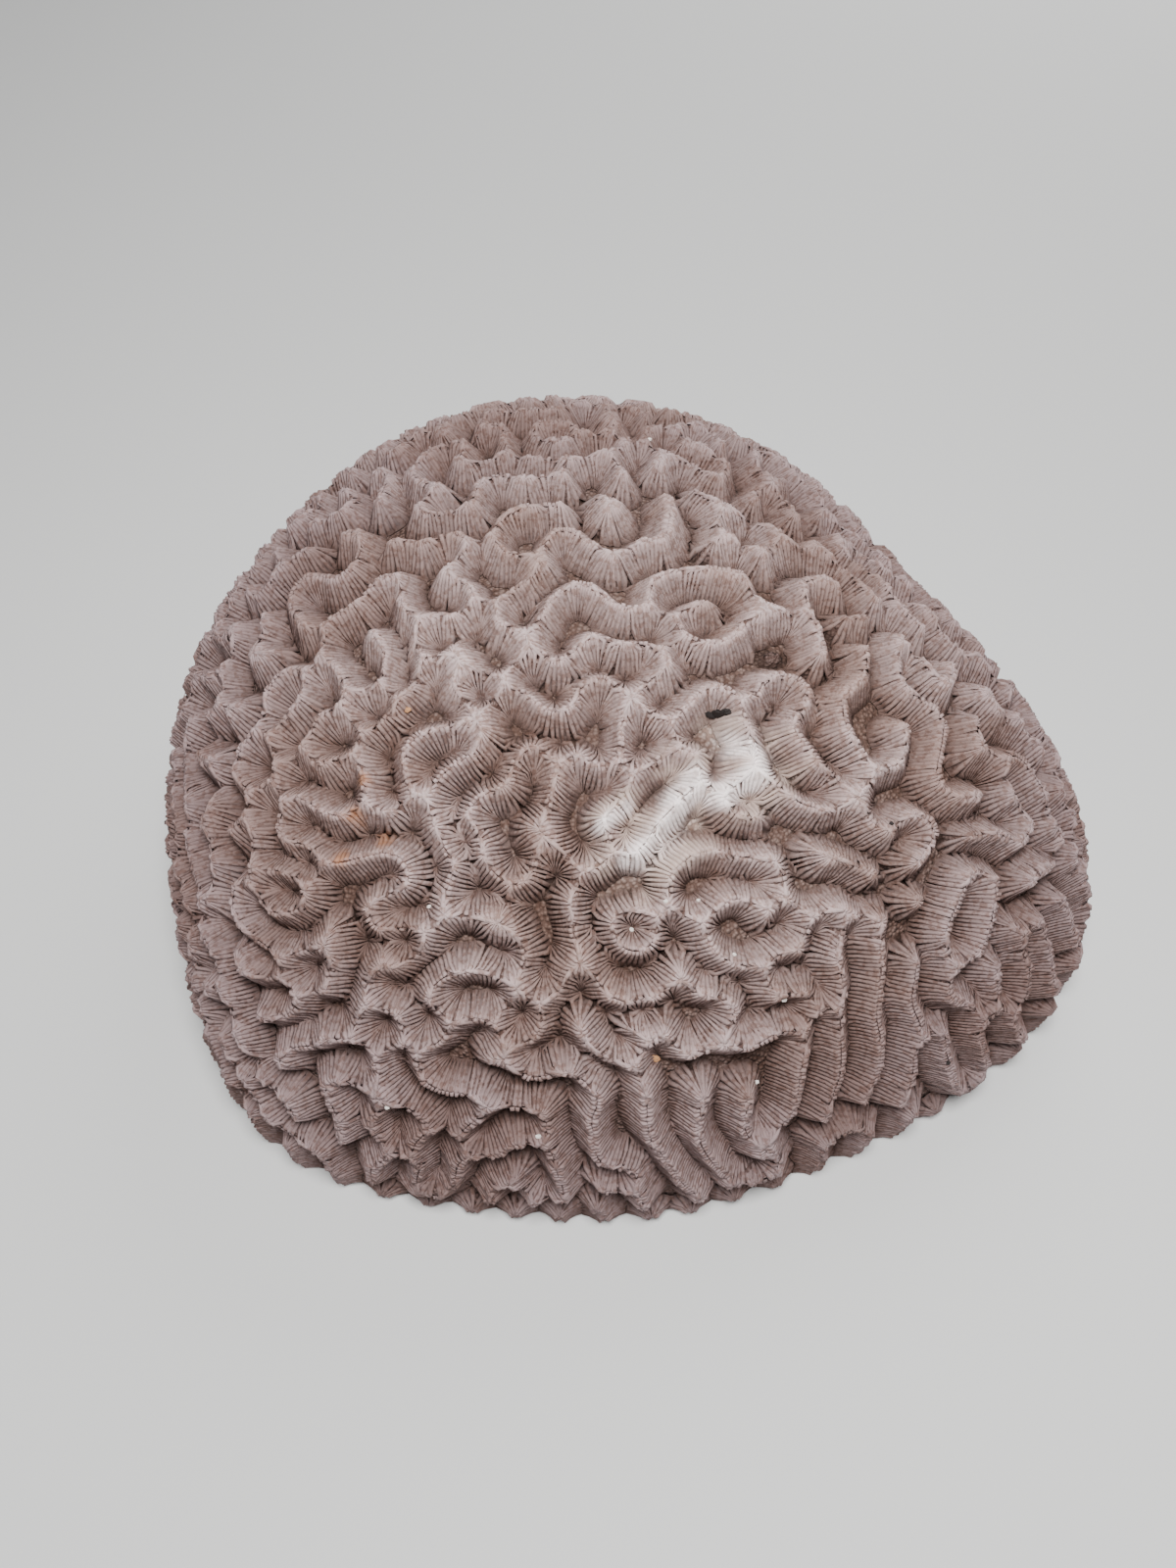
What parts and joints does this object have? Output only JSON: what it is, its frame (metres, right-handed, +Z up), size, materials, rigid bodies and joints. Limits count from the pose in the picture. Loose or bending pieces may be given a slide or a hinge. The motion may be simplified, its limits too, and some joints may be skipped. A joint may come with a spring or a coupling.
{
  "type": "brain coral skeleton",
  "caption": "Dry brain coral skeleton: a domed, one-piece stony mass with winding walls and deep valleys all over, cut flat underneath to stand on a shelf.",
  "frame": {"origin": "on the flat underside, below the middle of the bounding box", "axes": "+Z up from the underside; +X along the longest way, towards the lobe; -Y towards the side the picture was taken from"},
  "size_m": [0.1911, 0.1766, 0.0819],
  "materials": {
    "coral_stone": "dry, matt and rough, grey-beige with a mauve cast, lighter on the wall crests and browner in the valleys"
  },
  "bodies": {
    "root": {"coral": "coral_stone"}
  },
  "joints": []
}
